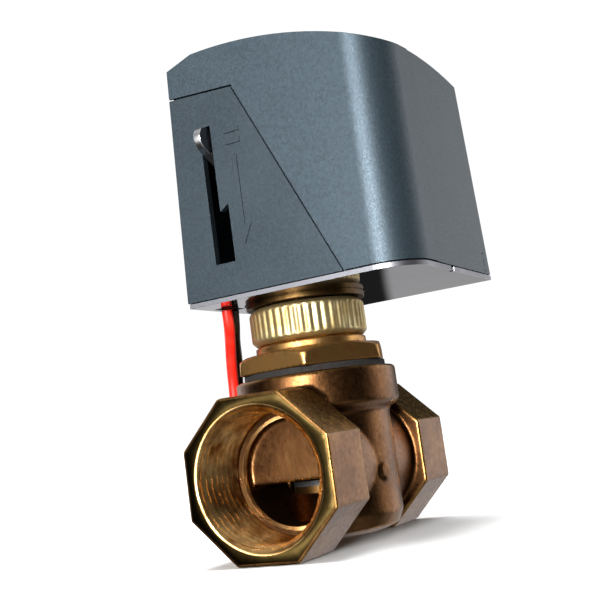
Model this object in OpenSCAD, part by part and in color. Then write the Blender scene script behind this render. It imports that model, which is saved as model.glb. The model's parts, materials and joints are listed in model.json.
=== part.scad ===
// Motorized two-port valve with a spring-return actuator and a manual lever.
// The pipe runs along Y, the stem along Z, and every shaft of the actuator along X.
// The origin is on the stem axis, at the level of the two flats that the valve rests on.

/* [Valve body] */
// Size across the flats of the two octagonal pipe ends
end_flats = 39; // [38.5:0.5:40]
// Length of each octagonal pipe end
end_len = 17.6; // [17:0.2:17.8]
// Length of the valve from one pipe face to the other
body_len = 72.4; // [72:0.2:74]
// Crest diameter of the internal pipe thread
thread_d = 30.3; // [30:0.1:30.6]
// Depth of the internal pipe thread
thread_len = 17; // [16:0.5:17]
// Diameter of the flow passage behind the thread
flow_d = 26.5; // [26:0.5:27]
// Diameter of the upright barrel
barrel_d = 36; // [35.5:0.5:37]
// Diameter of the boss on top of the barrel
boss_d = 42; // [41:0.5:43]

/* [Bonnet and union nut] */
// Size across the flats of the bonnet's hexagon
bonnet_flats = 36; // [35:0.5:36.5]
// Height of the bonnet's hexagon
hex_h = 4.8; // [4.4:0.1:5]
// Diameter of the fluted union nut
nut_d = 30.6; // [30.4:0.2:31.2]
// Height of the union nut
nut_h = 9.5; // [9:0.1:9.6]

/* [Housing] */
// Width of the housing at its foot
housing_w = 62.6; // [62.4:0.2:63]
// Depth of the housing at its foot
housing_d = 59.2; // [59:0.2:59.6]
// Distance from the stem axis to the foot of the left wall
housing_left = 21.7; // [21.6:0.1:21.8]
// Distance from the stem axis to the front wall
housing_front = 23; // [22.8:0.1:23.2]
// Height of the crown of the cover above the resting flats
crown_z = 131.6; // [131:0.2:133]
// Radius of the arch of the cover's top
arch_r = 110; // [106:1:114]
// Thickness of the moulded walls
wall = 1.8; // [1.6:0.1:1.8]

/* [Drive] */
// Turn of the manual lever from closed to open, in degrees
lever_swing = 46.5; // [40:0.5:46.5]
// Gear module of the sector and the rack
coarse_module = 0.8; // [0.8:0.1:0.8]
// Gear module of the three fast gears
fine_module = 0.5; // [0.5:0.1:0.5]
// Tooth thinning that gives the gears their backlash
backlash = 0.1; // [0.08:0.01:0.14]

/* [Leads] */
// Outer diameter of the two flying leads
lead_d = 2.9; // [2.6:0.1:2.9]

/* [Hidden] */
$fn = 64;
eps = 0.05;
run_gap = 0.04;

// Heights
pipe_z = end_flats / 2;
boss_z = pipe_z + 14;
boss_top = pipe_z + 23.5;
hex_z = boss_top + 1.5;
neck_z = hex_z + hex_h;
nut_z = pipe_z + 32.5;
spigot_top = nut_z + 7;
plate_z = pipe_z + 43.8;
plate_t = 1.2;
floor_z = plate_z + plate_t;
floor_t = 2;
cover_z = floor_z + 0.3;
panel_z = floor_z + 0.2;

// Valve interior
face_y = body_len / 2;
seat_r = 7.5;
seat_z = pipe_z - 2.6;
web_y = 17;
barrel_foot = 1.9;
chamber_z = 4.4;
chamber_r = 11.5;
plug_top = seat_z - 0.65;
stem_r = 2;
stem_tail_r = 1.6;
plug_r = 9.3;
plug_plate_t = 1.8;
plug_seal_t = 1.3;
plug_nut_flats = 6;
bonnet_thread_r = 14.7;
bonnet_foot = pipe_z + 12.5;
neck_r = 14.6;
neck_h = 2.2;
spigot_r = 13.4;
hex_turn = -9;
hex_corner_r = 20.8;
gasket_r = 18.6;
barrel_low_r = 16.8;
spring_r = 8.6;
gland_r = 5;
dot_azimuth = -12;
dot_r = 2;
cap_z = pipe_z + 36;
gland_z = pipe_z + 19;
spring_seat = pipe_z + 27;

// Plunger
plunger_r = 3.5;
plunger_foot = cap_z + 2.8;
rack_bottom = pipe_z + 64;
rack_top = pipe_z + 82;
collar_z = pipe_z + 60.5;
hub_top = pipe_z + 50.5;
hub_boss_r = 5.3;
hub_neck_r = 10.6;
hub_foot_r = 12.4;
hub_flange_r = 15.8;
hub_flange_z = nut_z + nut_h + 0.4;
hub_screw_r = 1.1;
nut_bore_r = 10.8;

// Housing outline
left_x = -housing_left;
right_x = left_x + housing_w;
front_y = -housing_front;
back_y = front_y + housing_d;
corner_r = 11;
crown_x = -9;
crown_y = 9;
crown_r = 200;
side_step = 0.4;
side_step_y = -6;
clip_y = back_y - 5;

// The left wall and the back wall lean inwards: where they would meet the height of the crown
left_top_x = -19.4;
back_top_y = 29.6;

// The corner between the left wall and the top is cut off along this line
shoulder = [[-19.6, 107], [-11.7, 109.5]];

// Front panel: its top edge falls to the right, and its right edge slants down to the foot
panel_left_top = pipe_z + 99.3;
panel_right_top = pipe_z + 97.9;
panel_top_x = -1;
panel_foot_x = 22.9;
groove = 0.5;

// Slot of the manual lever
slot_x0 = -11.8;
slot_x1 = -8.6;
notch_x1 = -6;
slot_bottom = pipe_z + 53.4;
slot_top = pipe_z + 89.3;
notch_top = pipe_z + 67.4;

// Frame plates that carry the shafts
plate_gauge = 1.5;
bush_r = 3.5;
frame_screw_r = 1.2;
left_plate_x = -7;
mid_plate_x = 6;
right_plate_x = 19;
pillars = [[-15, 77.5], [25, 72], [24, 109]];

// Gear train: tooth counts, and the angle from each shaft to the next
pressure = 25;
sector_teeth = 40;
rack_pinion_teeth = 15;
pinion_teeth = 10;
wheel_3_teeth = 40;
wheel_2_teeth = 36;
wheel_1_teeth = 36;
to_3 = 110;
to_2 = 190;
to_1 = 270;
to_rotor = -15;
pin_r = 1;
cross_r = 2.5;

function polar(r, a) = [r * cos(a), r * sin(a)];
function pitch_r(teeth, mod) = teeth * mod / 2;
function spacing(a, b, mod) = (a + b) * mod / 2;

// Each shaft is given by its Y and Z
rack_line_y = 3;
cross_at = [rack_line_y + pitch_r(rack_pinion_teeth, coarse_module), pipe_z + 71];
arbor_3 = cross_at + polar(spacing(sector_teeth, pinion_teeth, coarse_module), to_3);
arbor_2 = arbor_3 + polar(spacing(wheel_3_teeth, pinion_teeth, fine_module), to_2);
arbor_1 = arbor_2 + polar(spacing(wheel_2_teeth, pinion_teeth, fine_module), to_1);
rotor_at = arbor_1 + polar(spacing(wheel_1_teeth, pinion_teeth, fine_module), to_rotor);

// Manual lever
lever_x = (slot_x0 + slot_x1) / 2;
lever_t = 2.2;
lever_len = 36.2;
lever_rest = 156;
lever_tip_r = 3.2;

// Motor
can_r = 20;
can_x0 = right_plate_x + plate_gauge;
can_x1 = 35.2;
rotor_r = 9;
rotor_shaft_r = 1;
coil_in_r = 11.5;
coil_out_r = 17.6;
bobbin_r = 18.4;
motor_screw_r = 1;
motor_screw_line = can_r - 3;
motor_screw_angles = [20, 110, 200, 290];

// Leads: the point where each leaves the base, then the points it passes
red_route = [
    [-17.4, -11.6, 63], [-17.8, -10.8, 59], [-19.4, -8.6, 55], [-21.2, -6.4, 50],
    [-22.4, -4.8, 45], [-23, -4, 38], [-23, -3.4, 28], [-22.6, -2.6, 17], [-22.2, -1, 8],
    [-22.8, 2, 2.8], [-24.6, 6.6, 1.6], [-28, 14, 1.6], [-30.2, 22.6, 1.6], [-29.6, 32, 1.6],
    [-24.8, 39.6, 1.6], [-16.4, 43, 1.6], [-8, 42.6, 1.6], [0.4, 40.6, 1.6]
];
black_route = [
    [-17.4, -8.2, 63], [-18.4, -7, 59], [-20.2, -4.8, 55], [-22, -2, 50], [-23.4, -0.6, 45],
    [-24.6, 0.4, 38], [-25.6, 1, 28], [-26.4, 2, 17], [-27.2, 4, 8], [-28.6, 7.4, 2.8],
    [-31, 12, 1.6], [-33.6, 20, 1.6], [-34, 29, 1.6], [-31, 37.4, 1.6], [-25, 43.6, 1.6],
    [-16.8, 46.8, 1.6], [-8.4, 46.6, 1.6], [-0.4, 45.2, 1.6]
];
tip_len = 5;
tip_r = 0.7;
inner_lead_r = 0.9;
bush_at = [-17.5, -9.9];
exits = [[-17.4, -11.6], [-17.4, -8.2]];

// ---- shared shapes ----

// Places a shape drawn flat so that its plane is the Y-Z plane, at a shaft and an X position
module on_shaft(at, x) {
    translate([x, at[0], at[1]]) rotate([90, 0, 90]) children();
}

module disc_x(at, x, r, t) {
    on_shaft(at, x) cylinder(r = r, h = t);
}

module ring_z(z, r_out, r_in, h) {
    translate([0, 0, z]) difference() {
        cylinder(r = r_out, h = h);
        translate([0, 0, -eps]) cylinder(r = r_in, h = h + 2 * eps);
    }
}

module hexagon_z(z, flats, h) {
    translate([0, 0, z]) cylinder(r = flats / 2 / cos(30), h = h, $fn = 6);
}

// Involute gear outline, a tooth centred on the local X axis
function involute(a) = tan(a) * 180 / PI - a;
function tooth_half(teeth, mod, r) =
    90 / teeth - backlash / 2 / pitch_r(teeth, mod) * 180 / PI + involute(pressure)
    - involute(acos(min(1, pitch_r(teeth, mod) * cos(pressure) / r)));
function flank_radii(teeth, mod) =
    let (p = pitch_r(teeth, mod), root = p - 1.1 * mod, tip = p + 0.8 * mod, base = p * cos(pressure))
    base > root ? [root, base, (base + tip) / 2, tip] : [root, (root + tip) / 2, tip];

module gear_outline(teeth, mod) {
    base = pitch_r(teeth, mod) * cos(pressure);
    radii = flank_radii(teeth, mod);
    last = len(radii) - 1;
    polygon([
        for (i = [0:teeth - 1]) each concat(
            [for (k = [0:last]) polar(radii[k], i * 360 / teeth - tooth_half(teeth, mod, max(radii[k], base)))],
            [for (k = [last:-1:0]) polar(radii[k], i * 360 / teeth + tooth_half(teeth, mod, max(radii[k], base)))]
        )
    ]);
}

module gear(at, x, t, teeth, mod, turn, bore_r) {
    on_shaft(at, x) difference() {
        linear_extrude(t) rotate(turn) gear_outline(teeth, mod);
        translate([0, 0, -eps]) cylinder(r = bore_r, h = t + 2 * eps);
    }
}

// A wheel and a smaller pinion on one hub, turning on a fixed pin
module compound_gear(at, wheel_x, wheel_teeth, wheel_turn, pinion_x, pinion_t, pinion_mod, pinion_turn) {
    bore_r = pin_r + run_gap;
    wheel_t = 1.3;
    holes_r = pitch_r(wheel_teeth, fine_module) * 0.62;
    difference() {
        gear(at, wheel_x, wheel_t, wheel_teeth, fine_module, wheel_turn, bore_r);
        for (i = [0:4]) on_shaft(at + polar(holes_r, 72 * i), wheel_x - eps) cylinder(r = 1.6, h = 2);
    }
    gear(at, pinion_x, pinion_t, pinion_teeth, pinion_mod, pinion_turn, bore_r);
}

// A coil spring of round wire around the Z axis, closed at both ends
module coil_spring(z0, z1, mean_r, wire_r, turns) {
    steps = 18;
    sides = 6;
    rings = turns * steps;
    rise = z1 - z0 - 2 * wire_r;
    points = [
        for (i = [0:rings], k = [0:sides - 1])
            let (a = i * 360 / steps, r = mean_r + wire_r * cos(k * 360 / sides))
            [r * cos(a), r * sin(a), z0 + wire_r + rise * i / rings + wire_r * sin(k * 360 / sides)]
    ];
    sides_faces = [
        for (i = [0:rings - 1], k = [0:sides - 1])
            let (n = (k + 1) % sides)
            [i * sides + k, (i + 1) * sides + k, (i + 1) * sides + n, i * sides + n]
    ];
    ends = [[for (k = [0:sides - 1]) k], [for (k = [sides - 1:-1:0]) rings * sides + k]];
    polyhedron(points, concat(sides_faces, ends));
}

// A smooth curve through the points of a route, and a round tube along it
function spline(a, b, c, d, t) =
    0.5 * (2 * b + (c - a) * t + (2 * a - 5 * b + 4 * c - d) * t * t + (3 * b - a - 3 * c + d) * t * t * t);
function at_end(route, i) = route[max(0, min(len(route) - 1, i))];
function smooth(route, per) = [
    for (i = [0:len(route) - 2], s = [0:per - 1])
        spline(at_end(route, i - 1), route[i], route[i + 1], at_end(route, i + 2), s / per),
    route[len(route) - 1]
];
function unit(v) = v / norm(v);

module tube(route, r, per, sides = 8) {
    path = smooth(route, per);
    last = len(path) - 1;
    points = [
        for (i = [0:last])
            let (
                ahead = unit(path[min(i + 1, last)] - path[max(i - 1, 0)]),
                side = unit(cross(ahead, abs(ahead[2]) > 0.8 ? [0, 1, 0] : [0, 0, 1])),
                up = cross(side, ahead)
            )
            for (k = [0:sides - 1]) path[i] + r * (cos(k * 360 / sides) * side + sin(k * 360 / sides) * up)
    ];
    walls = [
        for (i = [0:last - 1], k = [0:sides - 1])
            let (n = (k + 1) % sides)
            [i * sides + k, i * sides + n, (i + 1) * sides + n, (i + 1) * sides + k]
    ];
    ends = [[for (k = [sides - 1:-1:0]) k], [for (k = [0:sides - 1]) last * sides + k]];
    polyhedron(points, concat(walls, ends));
}

// ---- valve ----

module pipe_end() {
    rotate([90, 0, 0]) translate([0, 0, face_y - end_len])
        rotate(22.5) cylinder(r = end_flats / 2 / cos(22.5), h = end_len, $fn = 8);
}

module flow_cylinder(r, y0, y1) {
    translate([0, y0, pipe_z]) rotate([-90, 0, 0]) cylinder(r = r, h = y1 - y0);
}

module valve_outside() {
    translate([0, 0, pipe_z]) {
        pipe_end();
        mirror([0, 1, 0]) pipe_end();
        rotate([90, 0, 0]) cylinder(r = barrel_low_r, h = 2 * (face_y - end_len) + 2, center = true);
    }
    rotate_extrude() polygon([
        [0, barrel_foot], [spigot_r, barrel_foot], [16.6, barrel_foot + 1.3], [barrel_d / 2, barrel_foot + 4.5],
        [barrel_d / 2, boss_z - 1.6], [boss_d / 2 - 0.8, boss_z], [boss_d / 2, boss_z + 0.8],
        [boss_d / 2, boss_top - 0.6], [boss_d / 2 - 0.6, boss_top], [0, boss_top]
    ]);
    rotate(dot_azimuth) translate([barrel_d / 2 - 1, 0, pipe_z - 3])
        rotate([0, 90, 0]) cylinder(r = dot_r, h = 1.5);
}

module valve_passages() {
    for (m = [0, 1]) mirror([0, m, 0]) {
        flow_cylinder(thread_d / 2, -face_y - eps, -face_y + thread_len);
        flow_cylinder(flow_d / 2, -face_y + thread_len - eps, -web_y);
        translate([0, -face_y - eps, pipe_z])
            rotate([-90, 0, 0]) cylinder(r1 = barrel_low_r, r2 = thread_d / 2, h = 1.5);
    }
    intersection() {
        flow_cylinder(flow_d / 2, -web_y - eps, 0);
        translate([-20, -20, 0]) cube([40, 20, seat_z]);
    }
    intersection() {
        flow_cylinder(flow_d / 2, 0, web_y + eps);
        translate([-20, 0, pipe_z]) cube([40, 20, 20]);
    }
    translate([0, 0, chamber_z]) cylinder(r = chamber_r, h = seat_z - chamber_z);
    translate([0, 0, pipe_z]) cylinder(r = chamber_r, h = 20);
    translate([0, 0, seat_z - eps]) cylinder(r = seat_r, h = pipe_z - seat_z + 2 * eps);
    translate([0, 0, bonnet_foot - 0.1]) cylinder(r = bonnet_thread_r + 0.1, h = 15);
}

module valve_body() {
    color([0.47, 0.36, 0.24]) {
        difference() {
            valve_outside();
            valve_passages();
        }
        ring_z(seat_z - 0.6, seat_r + 1.2, seat_r, 0.7);
    }
}

module bonnet() {
    color([0.42, 0.36, 0.26]) difference() {
        union() {
            translate([0, 0, bonnet_foot]) cylinder(r = bonnet_thread_r, h = hex_z - bonnet_foot + 0.1);
            rotate(hex_turn) intersection() {
                hexagon_z(hex_z, bonnet_flats, hex_h);
                translate([0, 0, hex_z]) rotate_extrude()
                    polygon([
                        [0, 0], [hex_corner_r - 0.4, 0], [hex_corner_r, 0.4], [hex_corner_r, hex_h - 1.5],
                        [hex_corner_r - 2.8, hex_h], [0, hex_h]
                    ]);
            }
            translate([0, 0, neck_z - eps]) cylinder(r = neck_r, h = neck_h + eps);
            translate([0, 0, neck_z]) cylinder(r = spigot_r, h = spigot_top - neck_z);
        }
        translate([0, 0, pipe_z + 12]) cylinder(r = 11, h = 4);
        translate([0, 0, pipe_z + 15]) cylinder(r = stem_r + run_gap, h = 20);
        translate([0, 0, gland_z]) cylinder(r = gland_r, h = 20);
        translate([0, 0, spring_seat]) cylinder(r = spring_r, h = 20);
    }
}

module bonnet_gasket() {
    color([0.2, 0.19, 0.18]) ring_z(boss_top, gasket_r, bonnet_thread_r + 0.2, hex_z - boss_top);
}

module stem_gland() {
    color([0.75, 0.62, 0.35]) difference() {
        ring_z(gland_z + 4.2, gland_r - 0.05, stem_r + run_gap, spring_seat - gland_z - 4.2);
        translate([-6, -0.5, spring_seat - 0.8]) cube([12, 1, 2]);
    }
}

module stem_o_rings() {
    color([0.08, 0.08, 0.08]) for (z = [gland_z + 1.4, gland_z + 3.3])
        translate([0, 0, z]) rotate_extrude() translate([stem_r + run_gap + 0.9, 0]) circle(r = 0.88);
}

module stem() {
    color([0.72, 0.73, 0.75]) {
        translate([0, 0, plug_top - 5.4]) cylinder(r = stem_tail_r, h = 5.5);
        translate([0, 0, plug_top]) cylinder(r = stem_r, h = cap_z - plug_top);
    }
}

module plug_plate() {
    color([0.8, 0.66, 0.36]) ring_z(plug_top - plug_seal_t - plug_plate_t, plug_r, stem_tail_r, plug_plate_t);
}

module plug_seal() {
    color([0.09, 0.09, 0.09]) ring_z(plug_top - plug_seal_t, plug_r, stem_tail_r, plug_seal_t);
}

module plug_nut() {
    color([0.72, 0.73, 0.75]) difference() {
        hexagon_z(plug_top - 4.9, plug_nut_flats, plug_plate_t);
        translate([0, 0, plug_top - 5]) cylinder(r = stem_tail_r, h = 3);
    }
}

module stem_spring() {
    color([0.7, 0.71, 0.73]) coil_spring(spring_seat, cap_z, 6.9, 0.45, 4);
}

module stem_cap() {
    color([0.75, 0.62, 0.35]) difference() {
        union() {
            translate([0, 0, cap_z]) cylinder(r = 8.2, h = 1.4);
            translate([0, 0, cap_z + 1.3]) cylinder(r = 4.5, h = 1.2);
        }
        for (a = [0, 90]) rotate(a) translate([5.6, -1, cap_z - eps]) cube([4, 2, 2]);
    }
}

module union_nut() {
    flutes = 48;
    flute_r = 0.6;
    color([0.82, 0.74, 0.48]) difference() {
        translate([0, 0, nut_z]) rotate_extrude() polygon([
            [spigot_r + 0.1, 0], [nut_d / 2 - 0.9, 0], [nut_d / 2, 0.9], [nut_d / 2, nut_h - 1.1],
            [nut_d / 2 - 1.1, nut_h], [nut_bore_r, nut_h], [nut_bore_r, nut_h - 0.8],
            [spigot_r + 0.1, nut_h - 0.8]
        ]);
        for (i = [0:flutes - 1]) rotate(i * 360 / flutes)
            translate([nut_d / 2 + 0.25, 0, nut_z + 1.6]) cylinder(r = flute_r, h = nut_h - 3.4);
    }
}

// ---- coupling between valve and housing ----

module hub() {
    color([0.78, 0.66, 0.38]) difference() {
        union() {
            translate([0, 0, spigot_top + 0.1]) cylinder(r = hub_foot_r, h = 1.4);
            translate([0, 0, spigot_top + 0.1]) cylinder(r = hub_neck_r, h = floor_z - spigot_top - 0.1);
            translate([0, 0, hub_flange_z]) cylinder(r = hub_flange_r, h = floor_z - hub_flange_z);
            translate([0, 0, floor_z - eps]) cylinder(r = hub_boss_r, h = hub_top - floor_z + eps);
        }
        translate([0, 0, spigot_top - 1]) cylinder(r = plunger_r + 0.05, h = 30);
        translate([0, 0, spigot_top - 1]) cylinder(r = spring_r, h = 2.2);
        at_hub_screws() translate([0, 0, plate_z + 0.3]) cylinder(r = hub_screw_r, h = 8);
    }
}

module at_hub_screws() {
    for (a = [45:90:315]) rotate(a) translate([13.4, 0, 0]) children();
}

module hub_screws() {
    color([0.7, 0.7, 0.72]) at_hub_screws() {
        translate([0, 0, floor_z + floor_t]) cylinder(r = 1.9, h = 1.2);
        translate([0, 0, plate_z + 0.3]) cylinder(r = hub_screw_r, h = plate_t + floor_t);
    }
}

// ---- housing ----

module housing_plan(inset) {
    x0 = left_x + inset;
    y0 = front_y + inset;
    r = corner_r - inset;
    difference() {
        translate([x0, y0]) square([right_x - inset - x0, back_y - inset - y0]);
        translate([right_x - corner_r, y0 - 1]) difference() {
            square([corner_r + 1, r + 1]);
            translate([0, r + 1]) circle(r = r);
        }
    }
}

// The housing's outer block: the plan between leaning walls, cut by a top that is arched both ways
module housing_block(inset, z0) {
    top_r = crown_r - inset;
    rise = crown_z + 1 - plate_z;
    intersection() {
        translate([0, 0, z0]) linear_extrude(crown_z - z0 + 1) housing_plan(inset);
        translate([0, crown_y, crown_z - crown_r]) rotate([0, 90, 0]) rotate_extrude($fn = 96) intersection() {
            polygon([[0, left_x - 5], [top_r, left_x - 5], [top_r, right_x + 5], [0, right_x + 5]]);
            translate([top_r - arch_r, crown_x]) circle(r = arch_r, $fn = 96);
            shoulder_side(inset);
        }
        translate([0, back_y + 1, plate_z]) rotate([90, 0, 0]) linear_extrude(back_y - front_y + 2)
            polygon([[left_x + inset, 0], [right_x + 1, 0], [right_x + 1, rise], [left_top_x + inset, rise]]);
        translate([left_x - 1, 0, plate_z]) rotate([90, 0, 90]) linear_extrude(right_x - left_x + 2)
            polygon([[front_y - 1, 0], [back_y - inset, 0], [back_top_y - inset, rise], [front_y - 1, rise]]);
    }
}

// Everything below the shoulder's line, drawn as distance from the arch's axis against X
module shoulder_side(inset) {
    sag = crown_r - sqrt(pow(crown_r, 2) - pow(crown_y - front_y, 2));
    lift = pipe_z + sag - crown_z + crown_r - inset;
    lean = (shoulder[1][1] - shoulder[0][1]) / (shoulder[1][0] - shoulder[0][0]);
    reach = 12;
    polygon([
        [0, left_x - reach], [shoulder[0][1] + lift - lean * reach, shoulder[0][0] - reach],
        [shoulder[1][1] + lift + lean * reach, shoulder[1][0] + reach],
        [crown_r + reach, shoulder[1][0] + reach],
        [crown_r + reach, right_x + reach], [0, right_x + reach]
    ]);
}

// Outline of the front panel in the X-Z plane, grown outwards by a margin
module panel_outline(grow) {
    fall = (panel_right_top - panel_left_top) / (panel_top_x - left_x);
    slant = (panel_foot_x - panel_top_x) / (panel_right_top - cover_z);
    shift = grow * norm([1, slant]);
    corner_dx = (shift - slant * grow) / (1 + slant * fall);
    polygon([[left_x - 2, plate_z], [left_x - 2, panel_left_top + grow - 2 * fall],
        [panel_top_x + corner_dx, panel_right_top + grow + fall * corner_dx],
        [panel_foot_x + shift, cover_z], [panel_foot_x + shift, plate_z]]);
}

module in_front_wall(y0, y1) {
    translate([0, y1, 0]) rotate([90, 0, 0]) linear_extrude(y1 - y0) children();
}

module lever_slot() {
    in_front_wall(front_y - 2, front_y + 6) polygon([
        [slot_x0, slot_bottom], [notch_x1, slot_bottom], [notch_x1, notch_top + 0.8],
        [slot_x1, notch_top - 0.8], [slot_x1, slot_top], [slot_x0, slot_top]
    ]);
}

// Raised marks beside the slot: a long arrow that points to open, and two bars
module slot_marks() {
    in_front_wall(front_y - 0.35, front_y + 0.5) {
        polygon([[-3, pipe_z + 62], [-1.8, pipe_z + 62], [-1.8, pipe_z + 80], [-3, pipe_z + 80]]);
        polygon([[-2.4, pipe_z + 57], [0, pipe_z + 62], [-4.8, pipe_z + 62]]);
        translate([-4.6, pipe_z + 83]) square([4.4, 1.1]);
        translate([-4.6, pipe_z + 86]) square([4.4, 1.1]);
    }
}

// Where the screws that hold the cover go up through the base
screw_spots = [[-14.5, 27.5]];
cover_screw_r = 1.3;
screw_post_r = 3;

module base_plate() {
    inset = 0.3;
    color([0.72, 0.68, 0.7]) difference() {
        translate([0, 0, plate_z]) linear_extrude(plate_t) housing_plan(inset);
        translate([0, 0, plate_z - 1]) cylinder(r = hub_flange_r + 0.3, h = 4);
        translate([bush_at[0], bush_at[1], plate_z - 1]) linear_extrude(4) square([4.4, 8.4], center = true);
        for (p = screw_spots) translate([p[0], p[1], plate_z - 1]) cylinder(r = cover_screw_r + 0.3, h = 4);
        translate([right_x - inset, 4, plate_z - 1]) cylinder(r = 1.2, h = 4);
    }
}

module base_tray() {
    color([0.33, 0.37, 0.4]) {
        difference() {
            union() {
                translate([0, 0, floor_z]) linear_extrude(floor_t) intersection() {
                    housing_plan(wall + 0.15);
                    translate([left_x, front_y]) square([right_x - left_x, housing_d - wall - 0.5]);
                }
                intersection() {
                    in_front_wall(front_y, front_y + wall + 0.3) panel_outline(-groove / 2);
                    housing_block(0, panel_z);
                }
                intersection() {
                    in_front_wall(front_y + 1, front_y + wall + 0.3) panel_outline(1);
                    housing_block(0.8, panel_z);
                }
                for (p = screw_spots) translate([p[0], p[1], floor_z]) cylinder(r = screw_post_r, h = 8);
                slot_marks();
                translate([right_x - wall - 0.6, clip_y + 0.15, floor_z]) cube([1.9, 0.9, 6]);
            }
            lever_slot();
            translate([0, 0, floor_z - 1]) cylinder(r = hub_boss_r + 0.1, h = 10);
            at_hub_screws() translate([0, 0, floor_z - 1]) cylinder(r = hub_screw_r, h = 10);
            translate([bush_at[0], bush_at[1], floor_z - 1])
                linear_extrude(6) square([3.6, 7.4], center = true);
            for (p = screw_spots) translate([p[0], p[1], floor_z - 1]) cylinder(r = cover_screw_r, h = 10);
        }
    }
}

module cover() {
    color([0.34, 0.39, 0.43]) difference() {
        housing_block(0, cover_z);
        difference() {
            housing_block(wall, cover_z - 5);
            for (p = screw_spots) translate([p[0], p[1], cover_z]) cylinder(r = screw_post_r + 1, h = 120);
        }
        for (p = screw_spots) translate([p[0], p[1], cover_z - 1]) cylinder(r = screw_post_r + 1.3, h = 9);
        for (p = screw_spots) translate([p[0], p[1], cover_z]) cylinder(r = cover_screw_r, h = 16);
        in_front_wall(front_y - 1, front_y + wall + 0.4) panel_outline(groove / 2);
        in_front_wall(front_y + 0.8, front_y + wall + 0.4) panel_outline(1.3);
        translate([right_x - side_step, side_step_y, cover_z - 1]) cube([5, 60, 80]);
        translate([right_x - 3, clip_y, cover_z - 1]) cube([5, 1.2, 7]);
    }
}

module cover_screws() {
    color([0.62, 0.62, 0.64]) for (p = screw_spots) translate([p[0], p[1], 0]) {
        translate([0, 0, plate_z - 1.4]) cylinder(r = 2 * cover_screw_r, h = 1.4);
        translate([0, 0, plate_z - 0.1]) cylinder(r = cover_screw_r, h = 17);
    }
}

// ---- frame of the gearbox ----

// A steel plate that stands on the tray's floor, cut back at its lower front corner for the wires
module frame_plate(x, holes) {
    foot_z = floor_z + floor_t;
    on_shaft([0, 0], x) linear_extrude(plate_gauge) difference() {
        polygon([[-9, foot_z], [28, foot_z], [28, 108], [24, 113], [16, 117.5], [-12, 118.5], [-19, 113],
            [-19, 72], [-9, 72]]);
        for (h = holes) translate(h[0]) circle(r = h[1]);
        for (p = pillars) translate(p) circle(r = frame_screw_r);
    }
}

module frame_plate_left() {
    color([0.7, 0.71, 0.72]) frame_plate(left_plate_x, [[cross_at, bush_r]]);
}

module frame_plate_middle() {
    color([0.7, 0.71, 0.72])
        frame_plate(mid_plate_x, [[cross_at, bush_r], [arbor_1, pin_r], [arbor_2, pin_r], [arbor_3, pin_r]]);
}

module frame_plate_right() {
    screw_holes = [for (a = motor_screw_angles) [rotor_at + polar(motor_screw_line, a), motor_screw_r]];
    gear_holes = [[arbor_1, pin_r], [arbor_2, pin_r], [arbor_3, pin_r]];
    color([0.7, 0.71, 0.72])
        frame_plate(right_plate_x, concat([[rotor_at, 3.1]], gear_holes, screw_holes));
}

module frame_pillars() {
    spans = [[left_plate_x, mid_plate_x], [mid_plate_x, right_plate_x]];
    color([0.78, 0.66, 0.38]) for (p = pillars, s = spans)
        on_shaft(p, s[0] + plate_gauge) difference() {
            cylinder(r = 2.2, h = s[1] - s[0] - plate_gauge);
            translate([0, 0, -1]) cylinder(r = frame_screw_r, h = 20);
        }
}

module frame_screws() {
    color([0.62, 0.62, 0.64]) for (p = pillars) {
        disc_x(p, left_plate_x, frame_screw_r, right_plate_x + plate_gauge - left_plate_x);
        disc_x(p, left_plate_x - 1.2, 2.1, 1.2);
    }
}

module cross_shaft_bushes() {
    color([0.78, 0.66, 0.38]) for (x = [left_plate_x, mid_plate_x]) on_shaft(cross_at, x) difference() {
        cylinder(r = bush_r, h = plate_gauge);
        translate([0, 0, -1]) cylinder(r = cross_r + run_gap, h = 5);
    }
}

module gear_pins() {
    color([0.7, 0.71, 0.73]) for (a = [arbor_1, arbor_2, arbor_3])
        disc_x(a, mid_plate_x, pin_r, right_plate_x + plate_gauge - mid_plate_x);
}

// ---- moving parts of the drive ----

module cross_shaft() {
    color([0.7, 0.71, 0.73]) difference() {
        disc_x(cross_at, lever_x - lever_t / 2 - 1.6, cross_r, 24.3);
        disc_x(cross_at, lever_x - lever_t / 2 - 2, 1.1, 1.4);
    }
}

module manual_lever() {
    tip = polar(lever_len, lever_rest);
    across = polar(1, lever_rest + 90);
    color([0.12, 0.12, 0.13]) on_shaft(cross_at, lever_x - lever_t / 2) difference() {
        union() {
            cylinder(r = 5, h = lever_t);
            linear_extrude(lever_t)
                polygon([4.4 * across, tip + lever_tip_r * across, tip - lever_tip_r * across, -4.4 * across]);
            translate(tip) cylinder(r = lever_tip_r, h = lever_t);
        }
        translate([0, 0, -1]) cylinder(r = cross_r, h = 5);
    }
}

module rack_pinion() {
    color([0.85, 0.84, 0.8]) gear(cross_at, -2.5, 5, rack_pinion_teeth, coarse_module, 180, cross_r);
}

module sector_gear() {
    pitch = 360 / sector_teeth;
    spare_teeth = 1.5;
    first = to_3 - lever_swing - (spare_teeth + 0.8) * pitch;
    last = to_3 + spare_teeth * pitch;
    reach = 30;
    color([0.85, 0.84, 0.8]) on_shaft(cross_at, mid_plate_x + plate_gauge + 0.8) difference() {
        linear_extrude(2) {
            intersection() {
                rotate(to_3) gear_outline(sector_teeth, coarse_module);
                polygon([[0, 0], polar(reach, first), polar(reach, (first + last) / 2), polar(reach, last)]);
            }
            circle(r = 6);
        }
        translate([0, 0, -1]) cylinder(r = cross_r, h = 5);
        rotate((first + last) / 2) translate([10, 0, -1]) cylinder(r = 2.4, h = 5);
    }
}

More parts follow.
